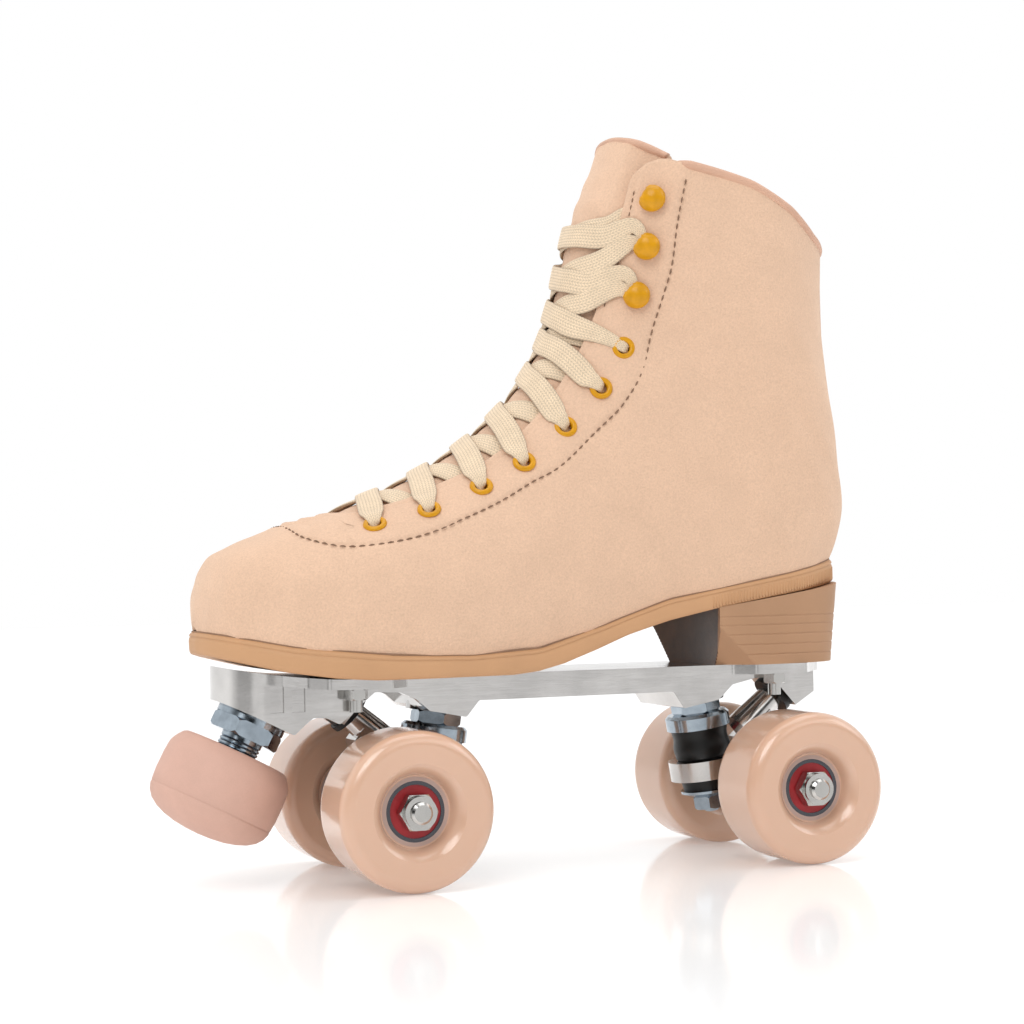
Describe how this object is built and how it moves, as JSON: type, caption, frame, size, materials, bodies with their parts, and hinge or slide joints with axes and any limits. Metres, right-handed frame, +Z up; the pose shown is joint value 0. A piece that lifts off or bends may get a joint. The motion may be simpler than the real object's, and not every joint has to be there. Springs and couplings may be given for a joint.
{
  "type": "quad roller skate",
  "caption": "Left high-top quad roller skate with laced nubuck boot, metal plate, cushioned trucks, sealed bearings and screw-in toe stop.",
  "frame": {"origin": "on the floor, midway between the four wheels", "axes": "+X towards the toe, +Y towards the skate's own left side, +Z up"},
  "size_m": [0.2868, 0.114, 0.285],
  "materials": {
    "cast_plate": "polished casting",
    "zinc_steel": "zinc plated",
    "bearing_steel": "ground and polished",
    "urethane": "glossy poured urethane",
    "hub_nylon": "moulded nylon",
    "seal_red": "satin",
    "cushion_black": "satin",
    "stop_rubber": "matte",
    "sole_rubber": "matte",
    "nubuck": "fine nap",
    "lining_cloth": "smooth padded",
    "binding": "smooth",
    "brass_gold": "glossy lacquer",
    "lace_cotton": "flat woven"
  },
  "bodies": {
    "plate_and_boot": {"plate": "cast_plate", "mounting_bolts": "zinc_steel", "mounting_nuts": "zinc_steel", "front_kingpin": "zinc_steel", "front_kingpin_jam_nut": "zinc_steel", "front_upper_retainer": "zinc_steel", "front_upper_cushion": "cushion_black", "front_lower_cushion": "cushion_black", "front_lower_retainer": "zinc_steel", "front_pivot_cup": "cushion_black", "rear_kingpin": "zinc_steel", "rear_kingpin_jam_nut": "zinc_steel", "rear_upper_retainer": "zinc_steel", "rear_upper_cushion": "cushion_black", "rear_lower_cushion": "cushion_black", "rear_lower_retainer": "zinc_steel", "rear_pivot_cup": "cushion_black", "toe_stop_lock_nut": "zinc_steel", "outsole": "sole_rubber", "heel": "sole_rubber", "insole": "lining_cloth", "upper_shell": "nubuck", "lining": "lining_cloth", "tongue": "lining_cloth", "collar_binding": "binding", "back_piping": "binding", "eyelets": "brass_gold", "hooks": "brass_gold", "lace": "lace_cotton"},
    "front_truck": {"front_hanger": "cast_plate", "front_axle": "bearing_steel", "front_axle_nuts": "zinc_steel", "front_bearing_inner_races": "bearing_steel"},
    "front_left_wheel": {"front_left_tyre": "urethane", "front_left_hub_core": "hub_nylon", "front_left_bearing_outer_races": "bearing_steel", "front_left_bearing_seals": "seal_red"},
    "front_left_ball_sets": {"front_left_bearing_balls": "bearing_steel"},
    "front_right_wheel": {"front_right_tyre": "urethane", "front_right_hub_core": "hub_nylon", "front_right_bearing_outer_races": "bearing_steel", "front_right_bearing_seals": "seal_red"},
    "front_right_ball_sets": {"front_right_bearing_balls": "bearing_steel"},
    "rear_truck": {"rear_hanger": "cast_plate", "rear_axle": "bearing_steel", "rear_axle_nuts": "zinc_steel", "rear_bearing_inner_races": "bearing_steel"},
    "rear_left_wheel": {"rear_left_tyre": "urethane", "rear_left_hub_core": "hub_nylon", "rear_left_bearing_outer_races": "bearing_steel", "rear_left_bearing_seals": "seal_red"},
    "rear_left_ball_sets": {"rear_left_bearing_balls": "bearing_steel"},
    "rear_right_wheel": {"rear_right_tyre": "urethane", "rear_right_hub_core": "hub_nylon", "rear_right_bearing_outer_races": "bearing_steel", "rear_right_bearing_seals": "seal_red"},
    "rear_right_ball_sets": {"rear_right_bearing_balls": "bearing_steel"},
    "toe_stop_screw": {"toe_stop_washer": "zinc_steel"},
    "toe_stop": {"toe_stop_rubber": "stop_rubber", "toe_stop_stem": "bearing_steel"}
  },
  "joints": [
    {"name": "front_truck_steer", "type": "hinge", "parent": "plate_and_boot", "child": "front_truck", "pos_m": [0.0588, 0, 0.0347], "axis": [0.7466, 0, 0.6652], "range_deg": [-7, 7], "stiffness_Nm_per_rad": 6, "deforming": ["front_upper_cushion", "front_lower_cushion"]},
    {"name": "front_left_wheel_spin", "type": "hinge", "parent": "front_truck", "child": "front_left_wheel", "pos_m": [0.08, 0.039, 0.029], "axis": [0, 1, 0], "continuous": true},
    {"name": "front_left_balls_orbit", "type": "hinge", "parent": "front_truck", "child": "front_left_ball_sets", "pos_m": [0.08, 0.039, 0.029], "axis": [0, 1, 0], "continuous": true},
    {"name": "front_right_wheel_spin", "type": "hinge", "parent": "front_truck", "child": "front_right_wheel", "pos_m": [0.08, -0.039, 0.029], "axis": [0, 1, 0], "continuous": true},
    {"name": "front_right_balls_orbit", "type": "hinge", "parent": "front_truck", "child": "front_right_ball_sets", "pos_m": [0.08, -0.039, 0.029], "axis": [0, 1, 0], "continuous": true},
    {"name": "rear_truck_steer", "type": "hinge", "parent": "plate_and_boot", "child": "rear_truck", "pos_m": [-0.0588, 0, 0.0347], "axis": [-0.7466, 0, 0.6652], "range_deg": [-7, 7], "stiffness_Nm_per_rad": 6, "deforming": ["rear_upper_cushion", "rear_lower_cushion"]},
    {"name": "rear_left_wheel_spin", "type": "hinge", "parent": "rear_truck", "child": "rear_left_wheel", "pos_m": [-0.08, 0.039, 0.029], "axis": [0, 1, 0], "continuous": true},
    {"name": "rear_left_balls_orbit", "type": "hinge", "parent": "rear_truck", "child": "rear_left_ball_sets", "pos_m": [-0.08, 0.039, 0.029], "axis": [0, 1, 0], "continuous": true},
    {"name": "rear_right_wheel_spin", "type": "hinge", "parent": "rear_truck", "child": "rear_right_wheel", "pos_m": [-0.08, -0.039, 0.029], "axis": [0, 1, 0], "continuous": true},
    {"name": "rear_right_balls_orbit", "type": "hinge", "parent": "rear_truck", "child": "rear_right_ball_sets", "pos_m": [-0.08, -0.039, 0.029], "axis": [0, 1, 0], "continuous": true},
    {"name": "toe_stop_turn", "type": "hinge", "parent": "plate_and_boot", "child": "toe_stop_screw", "pos_m": [0.1332, 0, 0.0492], "axis": [-0.454, 0, 0.891], "range_deg": [-1440, 1080]},
    {"name": "toe_stop_travel", "type": "slide", "parent": "toe_stop_screw", "child": "toe_stop", "axis": [-0.454, 0, 0.891], "range_m": [-0.0057, 0.0043]}
  ],
  "couplings": [
    {"joint": "front_left_balls_orbit", "follows": "front_left_wheel_spin", "ratio": 0.632},
    {"joint": "front_right_balls_orbit", "follows": "front_right_wheel_spin", "ratio": 0.632},
    {"joint": "rear_left_balls_orbit", "follows": "rear_left_wheel_spin", "ratio": 0.632},
    {"joint": "rear_right_balls_orbit", "follows": "rear_right_wheel_spin", "ratio": 0.632},
    {"joint": "toe_stop_travel", "follows": "toe_stop_turn", "m_per_rad": 0.00022457}
  ]
}
